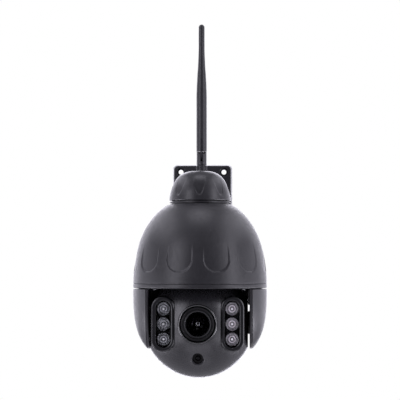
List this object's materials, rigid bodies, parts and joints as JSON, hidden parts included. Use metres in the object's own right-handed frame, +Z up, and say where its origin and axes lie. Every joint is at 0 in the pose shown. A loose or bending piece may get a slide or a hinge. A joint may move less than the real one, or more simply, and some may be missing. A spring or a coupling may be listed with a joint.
{
  "type": "security camera",
  "caption": "Outdoor pan-and-tilt security camera on a wall bracket: egg-shaped housing, ball camera head held by two side arms, infrared lamps and a hinged stick antenna.",
  "frame": {"origin": "centre of the wall plate's back face, on the wall", "axes": "+Z up, -Y out of the wall and the way the lens looks, +X to the right for someone facing the camera"},
  "size_m": [0.129, 0.1765, 0.3515],
  "materials": {
    "shell_plastic": "fine satin moulding texture, charcoal grey",
    "bracket_plastic": "fine satin moulding texture, charcoal grey",
    "antenna_plastic": "smooth satin, charcoal grey",
    "frame_plastic": "fine matt texture, near black",
    "black_gloss": "semi-gloss black",
    "rubber": "matt",
    "steel": "bright zinc plated",
    "brass": "turned and gold plated",
    "acetal": "natural white acetal",
    "circuit_board": "green solder mask",
    "zinc_plate": "plain plated sheet",
    "optical_glass": "coated, near black",
    "clear_plastic": "clear moulded plastic"
  },
  "bodies": {
    "bracket": {"wall_plate": "bracket_plastic", "bracket_arm": "bracket_plastic", "arm_gasket": "rubber", "bracket_screw_1": "steel", "bracket_screw_2": "steel", "gland_nut": "frame_plastic", "gland_seal": "rubber", "antenna_jack": "brass", "antenna_collar": "antenna_plastic", "neck_tube": "shell_plastic", "neck_nut": "frame_plastic", "upper_housing": "shell_plastic", "housing_ring": "shell_plastic", "housing_seal": "rubber", "chassis_plate": "zinc_plate", "main_board": "circuit_board", "pan_motor": "zinc_plate", "pan_bearing_outer": "steel"},
    "antenna_swivel": {"antenna_knuckle": "antenna_plastic", "antenna_pin": "steel"},
    "antenna_stick": {"antenna_link": "frame_plastic", "antenna_whip": "antenna_plastic"},
    "yoke": {"yoke_turntable": "frame_plastic", "turntable_screw_left": "steel", "turntable_screw_right": "steel", "arm_frame_left": "frame_plastic", "arm_frame_right": "frame_plastic", "arm_cover_left": "shell_plastic", "arm_cover_right": "shell_plastic", "pan_gear": "acetal", "pan_bearing_inner": "steel", "tilt_axle_left": "steel", "tilt_axle_right": "steel", "tilt_gear": "acetal"},
    "head": {"head_front": "shell_plastic", "head_rear": "shell_plastic", "head_screw_left": "steel", "head_screw_right": "steel", "led_frame_left": "black_gloss", "led_frame_right": "black_gloss", "led_window_left": "clear_plastic", "led_window_right": "clear_plastic", "led_lenses_left": "clear_plastic", "led_lenses_right": "clear_plastic", "led_board_left": "circuit_board", "led_board_right": "circuit_board", "lens_bezel": "black_gloss", "lens_hood": "frame_plastic", "lens_window": "optical_glass", "lens_barrel": "frame_plastic", "front_lens": "optical_glass", "sensor_board": "circuit_board", "light_sensor": "optical_glass", "tilt_motor": "zinc_plate", "tilt_bush_left": "acetal", "tilt_bush_right": "acetal"},
    "pan_pinion": {"pan_pinion": "brass"},
    "tilt_pinion": {"tilt_pinion": "brass"},
    "zoom_group": {"zoom_lens_group": "optical_glass"},
    "filter": {"infrared_filter": "optical_glass"}
  },
  "joints": [
    {"name": "pan", "type": "hinge", "parent": "bracket", "child": "yoke", "pos_m": [0, -0.112, -0.0854], "axis": [0, 0, 1], "range_deg": [-177.5, 177.5]},
    {"name": "tilt", "type": "hinge", "parent": "yoke", "child": "head", "pos_m": [-0.0011, -0.112, -0.1183], "axis": [1, 0, 0], "range_deg": [0, 90]},
    {"name": "antenna_swivel", "type": "hinge", "parent": "bracket", "child": "antenna_swivel", "pos_m": [0, -0.045, 0.046], "axis": [0, 0, 1], "continuous": true},
    {"name": "antenna_tilt", "type": "hinge", "parent": "antenna_swivel", "child": "antenna_stick", "pos_m": [0, -0.045, 0.046], "axis": [1, 0, 0], "range_deg": [0, 90]},
    {"name": "pan_pinion_spin", "type": "hinge", "parent": "bracket", "child": "pan_pinion", "pos_m": [0, -0.082, -0.0498], "axis": [0, 0, 1], "range_deg": [-715, 715]},
    {"name": "tilt_pinion_spin", "type": "hinge", "parent": "head", "child": "tilt_pinion", "pos_m": [-0.0421, -0.094, -0.1183], "axis": [1, 0, 0], "range_deg": [0, 272]},
    {"name": "zoom", "type": "slide", "parent": "head", "child": "zoom_group", "axis": [0, -1, 0], "range_m": [-0.006, 0.01]},
    {"name": "filter_shift", "type": "slide", "parent": "head", "child": "filter", "axis": [1, 0, 0], "range_m": [0, 0.008]}
  ],
  "couplings": [
    {"joint": "pan_pinion_spin", "follows": "pan", "ratio": -4},
    {"joint": "tilt_pinion_spin", "follows": "tilt", "ratio": 3}
  ]
}
